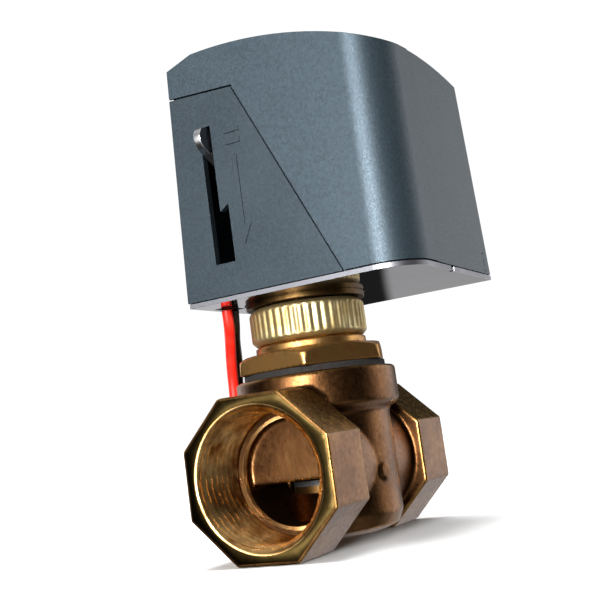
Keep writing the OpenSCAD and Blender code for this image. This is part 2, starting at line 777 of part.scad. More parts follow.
module rack_plunger() {
    pitch = PI * coarse_module;
    root_y = rack_line_y - 1.1 * coarse_module;
    tip_y = rack_line_y + 0.8 * coarse_module;
    lean = tan(pressure);
    tooth_at = function (y) pitch / 4 - backlash / 2 - (y - rack_line_y) * lean;
    color([0.85, 0.84, 0.8]) {
        translate([0, 0, plunger_foot]) cylinder(r = plunger_r, h = rack_bottom - plunger_foot + 1);
        translate([0, 0, collar_z]) cylinder(r = 5.2, h = 1.5);
        translate([-3.4, -3.6, rack_bottom]) cube([6.8, root_y + 3.6, rack_top - rack_bottom]);
        for (k = [-3:3]) translate([0, 0, cross_at[1] + (k + 0.5) * pitch])
            on_shaft([0, 0], -2.4) linear_extrude(4.8) polygon([
                [root_y - eps, -tooth_at(root_y)], [tip_y, -tooth_at(tip_y)],
                [tip_y, tooth_at(tip_y)], [root_y - eps, tooth_at(root_y)]
            ]);
    }
}

module plunger_spring() {
    color([0.7, 0.71, 0.73]) coil_spring(hub_top, collar_z, 4.6, 0.5, 5);
}

// Layers of the gear train along X
layer_3 = 11.6;
layer_2 = 13.9;
layer_1 = 16.1;

module gear_3() {
    color([0.88, 0.87, 0.83]) compound_gear(
        arbor_3, layer_3, wheel_3_teeth, to_2, mid_plate_x + plate_gauge + 0.5, 3.7, coarse_module,
        to_3 + 180 + 180 / pinion_teeth);
}

module gear_2() {
    color([0.88, 0.87, 0.83]) compound_gear(
        arbor_2, layer_2, wheel_2_teeth, to_1, layer_3 - 0.3, layer_2 - layer_3 + 0.4, fine_module,
        to_2 + 180 + 180 / pinion_teeth);
}

module gear_1() {
    color([0.88, 0.87, 0.83]) compound_gear(
        arbor_1, layer_1, wheel_1_teeth, to_rotor, layer_2 - 0.2, layer_1 - layer_2 + 0.3, fine_module,
        to_1 + 180 + 180 / pinion_teeth);
}

// ---- motor ----

module motor_can() {
    color([0.66, 0.67, 0.69]) on_shaft(rotor_at, can_x0 + 1) difference() {
        cylinder(r = can_r, h = can_x1 - can_x0 - 1);
        translate([0, 0, -1]) cylinder(r = can_r - 1, h = can_x1 - can_x0 - 1);
        translate([0, 0, 2]) cylinder(r = rotor_shaft_r + run_gap, h = 30);
        rotate(-90) translate([motor_screw_line, -5, -1]) cube([5, 10, 8]);
    }
}

module motor_end_plate() {
    color([0.66, 0.67, 0.69]) on_shaft(rotor_at, can_x0) difference() {
        union() {
            cylinder(r = can_r, h = 1);
            translate([0, 0, -1.2]) cylinder(r = 3, h = 2);
        }
        translate([0, 0, -2]) cylinder(r = rotor_shaft_r + run_gap, h = 5);
        for (a = motor_screw_angles) rotate(a)
            translate([motor_screw_line, 0, -1]) cylinder(r = motor_screw_r, h = 4);
    }
}

module coil_bobbin() {
    color([0.9, 0.88, 0.8]) on_shaft(rotor_at, can_x0 + 2) rotate_extrude() polygon([
        [coil_in_r - 1, 0], [bobbin_r, 0], [bobbin_r, 0.8], [coil_in_r, 0.8],
        [coil_in_r, 10.3], [bobbin_r, 10.3], [bobbin_r, 11.1], [coil_in_r - 1, 11.1]
    ]);
}

module motor_coil() {
    color([0.72, 0.38, 0.2]) on_shaft(rotor_at, can_x0 + 2.9) difference() {
        cylinder(r = coil_out_r, h = 9.3);
        translate([0, 0, -1]) cylinder(r = coil_in_r + 0.1, h = 13);
    }
}

module rotor_shaft() {
    color([0.72, 0.73, 0.75]) disc_x(rotor_at, layer_1 - 0.5, rotor_shaft_r, can_x1 - layer_1 - 0.2);
}

module rotor_magnet() {
    color([0.25, 0.25, 0.26]) on_shaft(rotor_at, can_x0 + 2.6) difference() {
        cylinder(r = rotor_r, h = 10);
        translate([0, 0, -1]) cylinder(r = rotor_shaft_r, h = 20);
    }
}

module rotor_pinion() {
    color([0.75, 0.62, 0.35]) gear(
        rotor_at, layer_1 - 0.3, 1.9, pinion_teeth, fine_module,
        to_rotor + 180 + 180 / pinion_teeth, rotor_shaft_r);
}

module motor_screws() {
    color([0.62, 0.62, 0.64]) for (a = motor_screw_angles)
        on_shaft(rotor_at + polar(motor_screw_line, a), right_plate_x - 1.1) {
            cylinder(r = 1.8, h = 1.1);
            cylinder(r = motor_screw_r, h = 3.4);
        }
}

module terminal_block() {
    color([0.88, 0.86, 0.78]) on_shaft(rotor_at, can_x0 + 2) rotate(-90)
        translate([bobbin_r + 0.3, -4.6, 0]) cube([2.6, 9.2, 5.5]);
}

// ---- leads ----

module lead_bush() {
    color([0.1, 0.1, 0.1]) difference() {
        translate([bush_at[0], bush_at[1], plate_z]) {
            linear_extrude(plate_t - 0.05) square([4, 8], center = true);
            linear_extrude(plate_t + 2.7) square([3.2, 7], center = true);
        }
        for (e = exits) translate([e[0], e[1], plate_z - 1]) cylinder(r = lead_d / 2 + 0.03, h = 8);
    }
}

// The wires inside the housing, from the bush over the floor to the motor's terminals
module inner_leads() {
    foot_z = red_route[0][2] + 0.5;
    color([0.75, 0.1, 0.08]) tube([[exits[0][0], exits[0][1], foot_z], [exits[0][0], exits[0][1], 68.6],
        [-14.6, -14, 70], [-8, -16.6, 69.8], [4, -17.4, 69.6], [14, -16.5, 69.6], [21, -13, 69.4],
        [24.6, -6, 69.2], [25, -2.2, 69.6], [25, -1.8, 71.2]], inner_lead_r, 3);
    color([0.06, 0.06, 0.06]) tube([[exits[1][0], exits[1][1], foot_z], [exits[1][0], exits[1][1], 67.4],
        [-13.6, -11.4, 68.2], [-8, -13.4, 67.8], [4, -14.2, 67.6], [12, -13.6, 67.6], [18.4, -11.6, 67.6],
        [21.6, -9.8, 67.7], [22.6, -6, 67.8], [24.2, 0, 68.4], [25, 3, 69.4], [25, 3.4, 71.2]],
        inner_lead_r, 3);
}

module lead_red() {
    color([0.82, 0.1, 0.06]) tube(red_route, lead_d / 2, 4);
}

module lead_black() {
    color([0.05, 0.05, 0.06]) tube(black_route, lead_d / 2, 4);
}

// The bare tinned end of a lead, in line with its last stretch
module bare_tip(route) {
    last = route[len(route) - 1];
    ahead = unit(last - route[len(route) - 2]);
    translate(last + 0.1 * ahead) rotate([0, 90, atan2(ahead[1], ahead[0])]) cylinder(r = tip_r, h = tip_len);
}

module lead_red_tip() {
    color([0.8, 0.8, 0.8]) bare_tip(red_route);
}

module lead_black_tip() {
    color([0.8, 0.8, 0.8]) bare_tip(black_route);
}

valve_body();
bonnet();
bonnet_gasket();
stem_gland();
stem_o_rings();
stem();
plug_plate();
plug_seal();
plug_nut();
stem_spring();
stem_cap();
union_nut();
hub();
hub_screws();
base_plate();
base_tray();
cover();
cover_screws();
frame_plate_left();
frame_plate_middle();
frame_plate_right();
frame_pillars();
frame_screws();
cross_shaft_bushes();
cross_shaft();
manual_lever();
rack_pinion();
sector_gear();
rack_plunger();
plunger_spring();
gear_pins();
gear_3();
gear_2();
gear_1();
motor_can();
motor_end_plate();
motor_coil();
coil_bobbin();
rotor_shaft();
rotor_magnet();
rotor_pinion();
motor_screws();
terminal_block();
lead_bush();
inner_leads();
lead_red();
lead_black();
lead_red_tip();
lead_black_tip();
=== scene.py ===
# Motorized two-port valve: the looks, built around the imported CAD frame. Everything is in metres.
import json
import math

import bmesh
import bpy
from mathutils import Matrix, Vector


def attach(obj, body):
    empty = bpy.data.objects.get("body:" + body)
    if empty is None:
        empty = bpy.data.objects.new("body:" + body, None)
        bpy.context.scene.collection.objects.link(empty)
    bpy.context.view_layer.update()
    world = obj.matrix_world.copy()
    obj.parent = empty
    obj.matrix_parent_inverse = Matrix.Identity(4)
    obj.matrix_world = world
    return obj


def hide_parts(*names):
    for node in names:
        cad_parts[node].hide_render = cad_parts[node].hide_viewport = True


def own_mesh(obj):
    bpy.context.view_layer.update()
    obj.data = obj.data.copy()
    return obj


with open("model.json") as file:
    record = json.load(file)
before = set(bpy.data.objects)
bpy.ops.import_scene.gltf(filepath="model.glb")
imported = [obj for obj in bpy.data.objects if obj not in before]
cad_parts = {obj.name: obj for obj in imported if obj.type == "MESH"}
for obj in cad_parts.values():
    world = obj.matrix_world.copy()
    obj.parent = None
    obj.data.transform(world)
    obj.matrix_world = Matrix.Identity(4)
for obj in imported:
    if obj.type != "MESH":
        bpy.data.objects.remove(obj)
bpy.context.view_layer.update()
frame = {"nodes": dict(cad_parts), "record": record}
MM = 0.001
NODES = frame["nodes"]
BODY_OF = {node: body for body, nodes in frame["record"]["behaviour"]["bodies"].items() for node in nodes}

# Sizes that part.scad gives, in millimetres: the height of the pipe's axis, the distance of each end face,
# the width across an end's flats, the radii of thread and waterway, and the pitch of the thread
PIPE_Z = 19.5
FACE_Y = 36.2
END_FLATS = 39.0
THREAD_R = 15.15
FLOW_R = 13.25
THREAD_PITCH = 2.309

# ---- camera ----

EYE = Vector((0.11724, -0.23038, 0.02866))
RIGHT = Vector((0.87244, 0.46970, -0.13500)).normalized()
UP = Vector((0.18128, -0.05449, 0.98192)).normalized()
cam_data = bpy.data.cameras.new("Camera")
cam = bpy.data.objects.new("Camera", cam_data)
bpy.context.scene.collection.objects.link(cam)
back = RIGHT.cross(UP).normalized()
cam.matrix_world = Matrix((
    (RIGHT.x, UP.x, back.x, EYE.x),
    (RIGHT.y, UP.y, back.y, EYE.y),
    (RIGHT.z, UP.z, back.z, EYE.z),
    (0, 0, 0, 1),
))
cam_data.lens = 58.75
cam_data.sensor_width = 36
cam_data.clip_start = 0.01
cam_data.clip_end = 20
bpy.context.scene.camera = cam


# ---- helpers for meshes ----

# Vertices closer than this, in metres, are one, and faces that turn less than this, in degrees, are flat
WELD = 2e-6
FLAT = 0.6


def shade_smooth(mesh):
    for p in mesh.polygons:
        p.use_smooth = True


def link(obj, smooth_angle=None):
    """Puts the object in the scene, shaded smooth up to the angle where one is given."""
    if obj.name not in bpy.context.scene.collection.objects:
        bpy.context.scene.collection.objects.link(obj)
    if smooth_angle is not None:
        shade_smooth(obj.data)
        sharp_edges(obj.data, smooth_angle)


def sharp_edges(mesh, angle):
    """Marks the edges that turn more than the angle, so that smooth shading stops there."""
    bm = bmesh.new()
    bm.from_mesh(mesh)
    for e in bm.edges:
        e.smooth = len(e.link_faces) == 2 and e.calc_face_angle(0) < math.radians(angle)
    bm.to_mesh(mesh)
    bm.free()


def mesh_from(name, verts, faces):
    mesh = bpy.data.meshes.new(name)
    mesh.from_pydata(verts, [], faces)
    mesh.update()
    return bpy.data.objects.new(name, mesh)


def copy_of(name, node):
    """A new object with the surface of a CAD node, welded and with flat areas joined into single faces."""
    bm = bmesh.new()
    bm.from_mesh(NODES[node].data)
    bmesh.ops.remove_doubles(bm, verts=bm.verts, dist=WELD)
    bmesh.ops.dissolve_limit(bm, angle_limit=math.radians(FLAT), verts=bm.verts, edges=bm.edges)
    mesh = bpy.data.meshes.new(name)
    bm.to_mesh(mesh)
    bm.free()
    obj = bpy.data.objects.new(name, mesh)
    bpy.context.scene.collection.objects.link(obj)
    return obj


def apply_modifiers(obj):
    """Puts what the modifiers make of the mesh in its place."""
    graph = bpy.context.evaluated_depsgraph_get()
    graph.update()
    mesh = bpy.data.meshes.new_from_object(obj.evaluated_get(graph))
    obj.modifiers.clear()
    old = obj.data
    obj.data = mesh
    bpy.data.meshes.remove(old)


def bevelled(name, width, node):
    """A CAD node with its sharp edges rounded, riding on its own body."""
    obj = copy_of(name, node)
    bevel = obj.modifiers.new("Bevel", "BEVEL")
    bevel.width = width * MM
    bevel.segments = 3
    bevel.limit_method = "ANGLE"
    bevel.angle_limit = math.radians(30)
    bevel.use_clamp_overlap = True
    bevel.miter_outer = "MITER_ARC"
    apply_modifiers(obj)
    link(obj, smooth_angle=40)
    even = obj.modifiers.new("Even", "WEIGHTED_NORMAL")
    even.mode = "FACE_AREA"
    even.weight = 80
    even.keep_sharp = True
    apply_modifiers(obj)
    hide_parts(node)
    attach(obj, BODY_OF[node])
    return obj


def soften(obj, voxel, rounds):
    """Remeshes the object finely and smooths it, so that every corner becomes a small fillet."""
    remesh = obj.modifiers.new("Remesh", "REMESH")
    remesh.mode = "VOXEL"
    remesh.voxel_size = voxel * MM
    smooth = obj.modifiers.new("Smooth", "SMOOTH")
    smooth.factor = 0.5
    smooth.iterations = rounds
    apply_modifiers(obj)
    shade_smooth(obj.data)


def round_uprights(obj, width, beyond):
    """Rounds the upright edges that stand further from the vertical axis than the given radius."""
    weight = obj.data.attributes.new("bevel_weight_edge", "FLOAT", "EDGE")
    for e in obj.data.edges:
        a, b = (obj.data.vertices[v].co for v in e.vertices)
        is_upright = (a.xy - b.xy).length < 0.02 * MM and abs(a.z - b.z) > 2 * MM
        weight.data[e.index].value = float(is_upright and a.xy.length > beyond * MM)
    bevel = obj.modifiers.new("Corners", "BEVEL")
    bevel.width = width * MM
    bevel.segments = 4
    bevel.limit_method = "WEIGHT"
    bevel.use_clamp_overlap = False


def lathe(name, profile, steps, radius_at=None, foot=0):
    """A turned ring on the vertical axis, from a closed run of (radius, height) points in millimetres.
    radius_at(angle, row) adds to the radius, and foot to every height."""
    verts, faces = [], []
    rows = len(profile)
    for i in range(steps):
        a = 2 * math.pi * i / steps
        for k, (r, h) in enumerate(profile):
            rr = r + (radius_at(a, k) if radius_at else 0)
            verts.append((rr * math.cos(a) * MM, rr * math.sin(a) * MM, (h + foot) * MM))
    for i in range(steps):
        n = (i + 1) % steps
        for k in range(rows):
            m = (k + 1) % rows
            faces.append((i * rows + k, n * rows + k, n * rows + m, i * rows + m))
    obj = mesh_from(name, verts, faces)
    bm = bmesh.new()
    bm.from_mesh(obj.data)
    bmesh.ops.recalc_face_normals(bm, faces=bm.faces)
    bm.to_mesh(obj.data)
    bm.free()
    return obj


# ---- helpers for materials ----

class Mat:
    """A small builder for node materials."""

    def __init__(self, name):
        self.m = bpy.data.materials.new(name)
        self.m.use_nodes = True
        self.t = self.m.node_tree
        self.bsdf = self.t.nodes["Principled BSDF"]
        self.coord = self.t.nodes.new("ShaderNodeTexCoord").outputs["Object"]

    def node(self, kind, **values):
        n = self.t.nodes.new(kind)
        for key, value in values.items():
            if hasattr(n, key):
                setattr(n, key, value)
            else:
                n.inputs[key.replace("_", " ")].default_value = value
        return n

    def link(self, a, b):
        self.t.links.new(a, b)

    def set(self, **values):
        for key, value in values.items():
            self.bsdf.inputs[key.replace("_", " ")].default_value = value
        return self

    def noise(self, scale, detail=4.0, rough=0.55, stretch=(1, 1, 1), seed=0.0):
        """Noise of that many bumps per millimetre. The seed only moves it to another place."""
        place = self.node("ShaderNodeMapping")
        place.inputs["Location"].default_value = (seed, seed * 0.7, seed * 1.3)
        place.inputs["Scale"].default_value = tuple(scale / MM * along for along in stretch)
        self.link(self.coord, place.inputs["Vector"])
        n = self.node("ShaderNodeTexNoise", Scale=1.0, Detail=detail, Roughness=rough)
        self.link(place.outputs["Vector"], n.inputs["Vector"])
        return n.outputs["Fac"]

    def ramp(self, fac, *stops):
        """From (position, colour or grey) stops."""
        r = self.node("ShaderNodeValToRGB")
        ramp = r.color_ramp
        while len(ramp.elements) < len(stops):
            ramp.elements.new(0.5)
        for element, (place, colour) in zip(ramp.elements, stops):
            element.position = place
            element.color = (*colour, 1) if isinstance(colour, tuple) else (colour, colour, colour, 1)
        self.link(fac, r.inputs["Fac"])
        return r.outputs["Color"]

    def mix(self, fac, a, b):
        m = self.node("ShaderNodeMix", data_type="RGBA")
        for socket, value in zip((m.inputs[0], m.inputs[6], m.inputs[7]), (fac, a, b)):
            if isinstance(value, bpy.types.NodeSocket):
                self.link(value, socket)
            elif isinstance(value, tuple):
                socket.default_value = (*value, 1)
            else:
                socket.default_value = value
        return m.outputs[2]

    def math(self, kind, a, b):
        m = self.node("ShaderNodeMath", operation=kind)
        for socket, value in ((m.inputs[0], a), (m.inputs[1], b)):
            if isinstance(value, bpy.types.NodeSocket):
                self.link(value, socket)
            else:
                socket.default_value = value
        return m.outputs[0]

    def bump(self, height, distance, strength=1.0, after=None):
        b = self.node("ShaderNodeBump", Strength=strength, Distance=distance * MM)
        self.link(height, b.inputs["Height"])
        if after is not None:
            self.link(after, b.inputs["Normal"])
        return b.outputs["Normal"]

    def finish(self, colour, rough=None, normal=None):
        for value, name in ((colour, "Base Color"), (rough, "Roughness"), (normal, "Normal")):
            if value is not None:
                self.link(value, self.bsdf.inputs[name])
        return self.m

    def turned(self, amount):
        """Stretches the highlights across rings cut round the pipe's axis."""
        tangent = self.node("ShaderNodeTangent", direction_type="RADIAL", axis="Y")
        self.link(tangent.outputs[0], self.bsdf.inputs["Tangent"])
        self.set(Anisotropic=amount)

    def edges(self, low, high):
        """Bright where an edge stands out, from the mesh's own curvature."""
        g = self.node("ShaderNodeNewGeometry")
        return self.ramp(g.outputs["Pointiness"], (low, 0.0), (high, 1.0))


def srgb(r, g, b):
    """A colour from 0-255 screen values."""
    def one(v):
        v /= 255
        return v / 12.92 if v <= 0.04045 else ((v + 0.055) / 1.055) ** 2.4
    return (one(r), one(g), one(b))


def paint(obj, material):
    obj.data.materials.clear()
    obj.data.materials.append(material)


def paint_node(node, material):
    """Gives the CAD's own piece the material, whatever slots it came with."""
    obj = NODES[node]
    if not obj.material_slots:
        obj.data.materials.append(material)
    for s in obj.material_slots:
        s.material = material
    for p in obj.data.polygons:
        p.material_index = 0


# ---- materials ----

def cast_brass():
    """Sand-cast brass, browned with age, yellow where the skin is worn through on the edges."""
    m = Mat("cast_brass")
    patches = m.noise(0.09, 5, 0.6)
    mottle = m.noise(0.9, 4, 0.6, seed=3)
    base = m.ramp(patches, (0.3, srgb(82, 54, 31)), (0.5, srgb(106, 72, 43)), (0.72, srgb(130, 94, 56)))
    base = m.mix(m.ramp(mottle, (0.35, 0.0), (0.75, 0.55)), base, srgb(76, 47, 26))
    worn = m.math("MULTIPLY", m.edges(0.515, 0.57), m.ramp(m.noise(0.35, 3, seed=9), (0.3, 0.3), (0.6, 0.9)))
    base = m.mix(worn, base, srgb(214, 168, 92))
    rough = m.math("SUBTRACT", m.ramp(mottle, (0.3, 0.26), (0.8, 0.42)), m.math("MULTIPLY", worn, 0.08))
    sand = m.bump(m.noise(2.6, 3, 0.6, seed=5), 0.05, 0.5)
    normal = m.bump(m.noise(0.45, 3, 0.5, seed=8), 0.16, 0.4, after=sand)
    m.set(Metallic=1.0)
    return m.finish(base, rough, normal)


def turned_brass(name, light, dark, rough_low, rough_high, grain, axis):
    """Turned brass: fine tool marks round the axis and faint stains."""
    m = Mat(name)
    stretch = {"Y": (0.02, 1.0, 0.02), "Z": (0.02, 0.02, 1.0)}[axis]
    marks = m.noise(grain, 3, 0.7, stretch=stretch)
    stains = m.noise(0.16, 5, 0.6, seed=4)
    specks = m.noise(1.6, 3, 0.6, seed=2)
    base = m.ramp(stains, (0.34, dark), (0.62, light))
    base = m.mix(m.ramp(specks, (0.58, 0.0), (0.78, 0.5)), base, dark)
    worn = m.edges(0.51, 0.58)
    base = m.mix(m.math("MULTIPLY", worn, 0.6), base, light)
    rough = m.ramp(stains, (0.3, rough_high), (0.65, rough_low))
    normal = m.bump(marks, 0.03, 0.5)
    normal = m.bump(specks, 0.03, 0.3, after=normal)
    if axis == "Y":
        m.turned(0.8)
    m.set(Metallic=1.0)
    return m.finish(base, rough, normal)


def end_face():
    """The faced end of the pipe: rings left by the cutting tool stretch the highlights across them."""
    m = Mat("end_face")
    stains = m.noise(0.2, 5, 0.6, seed=4)
    specks = m.noise(1.8, 3, 0.6, seed=2)
    base = m.ramp(stains, (0.32, srgb(42, 32, 16)), (0.66, srgb(70, 57, 29)))
    base = m.mix(m.ramp(specks, (0.55, 0.0), (0.78, 0.6)), base, srgb(62, 46, 22))
    rough = m.ramp(stains, (0.3, 0.4), (0.65, 0.28))
    m.turned(0.82)
    m.set(Metallic=1.0)
    return m.finish(base, rough, m.bump(specks, 0.03, 0.35))


def cover_paint(name, shade):
    """Grey satin moulding with a fine speckled grain and faint cloudy patches."""
    m = Mat(name)
    grain = m.noise(1.5, 3, 0.65)
    cloud = m.noise(0.05, 4, 0.5, seed=6)
    tones = [srgb(*(c * k * shade for c in (50, 62, 70))) for k in (0.84, 1.0, 1.14)]
    base = m.ramp(grain, (0.3, tones[0]), (0.5, tones[1]), (0.72, tones[2]))
    base = m.mix(m.math("MULTIPLY", m.ramp(cloud, (0.35, 0.0), (0.7, 1.0)), 0.2), base, srgb(66, 76, 82))
    rough = m.ramp(m.noise(2.4, 2, 0.5, seed=1), (0.3, 0.42), (0.75, 0.54))
    normal = m.bump(m.noise(2.1, 2, 0.5, seed=1), 0.05, 0.5)
    m.set(Metallic=0.6, Specular_IOR_Level=0.5)
    return m.finish(base, rough, normal)


def sheet_metal(name, colour, rough_low, rough_high, scratch=(1.0, 0.03, 0.03)):
    """Plated sheet: brushed one way, with faint smudges."""
    m = Mat(name)
    lines = m.noise(1.4, 4, 0.6, stretch=scratch)
    smudge = m.noise(0.08, 5, 0.6, seed=5)
    base = m.mix(m.ramp(smudge, (0.35, 0.0), (0.7, 0.35)), colour, tuple(c * 0.72 for c in colour))
    base = m.mix(m.ramp(lines, (0.5, 0.0), (0.8, 0.2)), base, tuple(c * 0.6 for c in colour))
    rough = m.ramp(smudge, (0.3, rough_low), (0.7, rough_high))
    normal = m.bump(lines, 0.01, 0.35)
    m.set(Metallic=1.0)
    return m.finish(base, rough, normal)


def moulded(name, colour, rough, grain=1.2, depth=0.03):
    """Plain moulded plastic or rubber with a soft grain and slight stains."""
    m = Mat(name)
    stain = m.noise(0.14, 4, 0.6, seed=2)
    fine = m.noise(grain, 3, 0.6)
    base = m.mix(m.ramp(stain, (0.35, 0.0), (0.75, 0.4)), colour, tuple(c * 0.6 for c in colour))
    value = m.ramp(fine, (0.3, rough - 0.08), (0.75, rough + 0.1))
    return m.finish(base, value, m.bump(fine, depth, 0.4))


def wire_skin(name, colour, rim):
    """Insulation: smooth, slightly dusty, with shallow drawing marks."""
    m = Mat(name)
    dust = m.noise(0.3, 4, 0.6)
    fine = m.noise(2.2, 3, 0.5, seed=3)
    base = m.ramp(dust, (0.3, colour), (0.75, rim))
    rough = m.ramp(fine, (0.3, 0.26), (0.75, 0.4))
    normal = m.bump(fine, 0.02, 0.35)
    m.set(Specular_IOR_Level=0.5)
    return m.finish(base, rough, normal)


def lever_black():
    """Black stoved steel."""
    m = Mat("lever_black")
    chip = m.noise(0.9, 4, 0.6)
    base = m.ramp(chip, (0.3, srgb(22, 22, 25)), (0.75, srgb(40, 40, 44)))
    rough = m.ramp(chip, (0.3, 0.25), (0.7, 0.42))
    return m.finish(base, rough, m.bump(m.noise(2.4, 3), 0.03, 0.4))


CAST = cast_brass()
THREAD = turned_brass("threaded_brass", srgb(236, 190, 124), srgb(128, 84, 42), 0.26, 0.4, 2.4, "Y")
END_FACE = end_face()
BONNET = turned_brass("browned_brass", srgb(196, 150, 88), srgb(128, 88, 48), 0.3, 0.46, 1.6, "Z")
NUT = turned_brass("bright_brass", srgb(192, 178, 134), srgb(158, 134, 88), 0.46, 0.6, 2.0, "Z")
HUB = turned_brass("hub_brass", srgb(104, 80, 46), srgb(60, 42, 22), 0.32, 0.48, 1.8, "Z")
PLUG = turned_brass("plug_brass", srgb(96, 70, 38), srgb(56, 38, 20), 0.36, 0.5, 1.8, "Z")
COVER = cover_paint("cover_grey", 1.0)
PANEL = cover_paint("panel_grey", 0.86)
PLATE = sheet_metal("plate_metal", (0.62, 0.6, 0.64), 0.03, 0.06)
STEEL = sheet_metal("plated_steel", (0.6, 0.6, 0.61), 0.24, 0.4)
ACETAL = moulded("acetal", srgb(226, 222, 208), 0.4)
NYLON = moulded("nylon", srgb(214, 206, 180), 0.45)
RUBBER = moulded("black_rubber", srgb(26, 26, 27), 0.6, depth=0.05)
# The fibre gasket's near-black colour is painted shade, for the dark joint between the bonnet's hex and the
# body's boss
SHADED_FIBRE = moulded("gasket_fibre_painted_shade", srgb(20, 16, 13), 0.85, grain=0.8, depth=0.12)
FERRITE = moulded("ferrite", srgb(52, 52, 54), 0.5)
COPPER = sheet_metal("copper_wire", srgb(184, 104, 58), 0.25, 0.4, scratch=(1.0, 0.05, 0.05))
LEVER = lever_black()
RED = wire_skin("red_insulation", srgb(240, 24, 12), srgb(250, 52, 38))
BLACK = wire_skin("black_insulation", srgb(20, 20, 22), srgb(44, 44, 47))
TINNED = sheet_metal("tinned_copper", (0.72, 0.72, 0.7), 0.2, 0.34)

# ---- flying leads ----

# The same points as in part.scad, in millimetres, from the bush outwards
RED_ROUTE = [
    (-17.4, -11.6, 63), (-17.8, -10.8, 59), (-19.4, -8.6, 55), (-21.2, -6.4, 50),
    (-22.4, -4.8, 45), (-23, -4, 38), (-23, -3.4, 28), (-22.6, -2.6, 17), (-22.2, -1, 8),
    (-22.8, 2, 2.8), (-24.6, 6.6, 1.6), (-28, 14, 1.6), (-30.2, 22.6, 1.6), (-29.6, 32, 1.6),
    (-24.8, 39.6, 1.6), (-16.4, 43, 1.6), (-8, 42.6, 1.6), (0.4, 40.6, 1.6),
]
BLACK_ROUTE = [
    (-17.4, -8.2, 63), (-18.4, -7, 59), (-20.2, -4.8, 55), (-22, -2, 50), (-23.4, -0.6, 45),
    (-24.6, 0.4, 38), (-25.6, 1, 28), (-26.4, 2, 17), (-27.2, 4, 8), (-28.6, 7.4, 2.8),
    (-31, 12, 1.6), (-33.6, 20, 1.6), (-34, 29, 1.6), (-31, 37.4, 1.6), (-25, 43.6, 1.6),
    (-16.8, 46.8, 1.6), (-8.4, 46.6, 1.6), (-0.4, 45.2, 1.6),
]
LEAD_R = 1.45
TIP_LEN = 5.0
TIP_SUNK = 0.2
STRANDS_ROUND = 6
STRAND_R = 0.235
STRAND_OFFSET = 0.46


def smooth_route(route, per):
    """The same spline as in the CAD source."""
    pts = [Vector(p) for p in route]
    out = []
    last = len(pts) - 1
    for i in range(last):
        a, b, c, d = pts[max(i - 1, 0)], pts[i], pts[i + 1], pts[min(i + 2, last)]
        for s in range(per):
            t = s / per
            out.append(0.5 * (
                2 * b + (c - a) * t + (2 * a - 5 * b + 4 * c - d) * t * t + (3 * b - a - 3 * c + d) * t ** 3))
    out.append(pts[last])
    return out


def stranded_tip(name, start, ahead):
    """Six tinned strands round a seventh, with a slow twist."""
    side = ahead.cross(Vector((0, 0, 1))).normalized()
    up = side.cross(ahead)
    verts, faces = [], []
    rings, sides = 14, 8
    for strand in range(STRANDS_ROUND + 1):
        offset = 0.0 if strand == STRANDS_ROUND else STRAND_OFFSET
        for i in range(rings + 1):
            t = i / rings
            turn = 2 * math.pi * (strand / STRANDS_ROUND + 0.35 * t)
            outward = math.cos(turn) * side + math.sin(turn) * up
            centre = start + ahead * (TIP_LEN * t - TIP_SUNK) + offset * outward
            for k in range(sides):
                b = 2 * math.pi * k / sides
                verts.append(tuple((centre + STRAND_R * (math.cos(b) * side + math.sin(b) * up)) * MM))
        first = len(verts) - (rings + 1) * sides
        for i in range(rings):
            for k in range(sides):
                n = (k + 1) % sides
                faces.append((first + i * sides + k, first + (i + 1) * sides + k,
                              first + (i + 1) * sides + n, first + i * sides + n))
        faces.append(tuple(first + k for k in range(sides)))
        faces.append(tuple(first + rings * sides + k for k in reversed(range(sides))))
    tip = mesh_from(name, verts, faces)
    link(tip, smooth_angle=50)
    paint(tip, TINNED)
    return tip


def lead(name, node, tip_node, route, material):
    """One insulated lead as a round curve along its route, with its bare tip."""
    path = smooth_route(route, 6)
    curve = bpy.data.curves.new(name, "CURVE")
    curve.dimensions = "3D"
    curve.bevel_depth = LEAD_R * MM
    curve.bevel_resolution = 5
    curve.use_fill_caps = True
    spline = curve.splines.new("POLY")
    spline.points.add(len(path) - 1)
    for point, p in zip(spline.points, path):
        point.co = (*(p * MM), 1)
    spline.use_smooth = True
    obj = bpy.data.objects.new(name, curve)
    bpy.context.scene.collection.objects.link(obj)
    curve.materials.append(material)
    ahead = (path[-1] - Vector(route[-2])).normalized()
    tip = stranded_tip(name + "_strands", path[-1], ahead)
    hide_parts(node)
    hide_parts(tip_node)
    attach(obj, "body")
    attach(tip, "body")


lead("red_lead", "lead_red", "lead_red_tip", RED_ROUTE, RED)
lead("black_lead", "lead_black", "lead_black_tip", BLACK_ROUTE, BLACK)

# ---- valve body: a casting, bored and threaded at both ends ----

# The casting is bored out, in radius and in depth, to make room for the threaded sleeves
BORE_R = 16.9
BORE_FROM = 19.3
BORE_TO = 38
bore_profile = [(0.01, BORE_FROM), (BORE_R, BORE_FROM), (BORE_R, BORE_TO), (0.01, BORE_TO)]

body = copy_of("valve_casting", "valve_body")
cutters = []
for side in (-1, 1):
    cutter = lathe("cutter", bore_profile, 96)
    cutter.data.transform(Matrix.Rotation(math.radians(90 * -side), 4, "X"))
    cutter.data.transform(Matrix.Translation((0, 0, PIPE_Z * MM)))
    link(cutter)
    cutters.append(cutter)
    cut = body.modifiers.new("Bore", "BOOLEAN")
    cut.operation = "DIFFERENCE"
    cut.solver = "EXACT"
    cut.object = cutter
soften(body, 0.42, 5)
for cutter in cutters:
    bpy.data.objects.remove(cutter)
paint(body, CAST)
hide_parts("valve_body")
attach(body, "body")


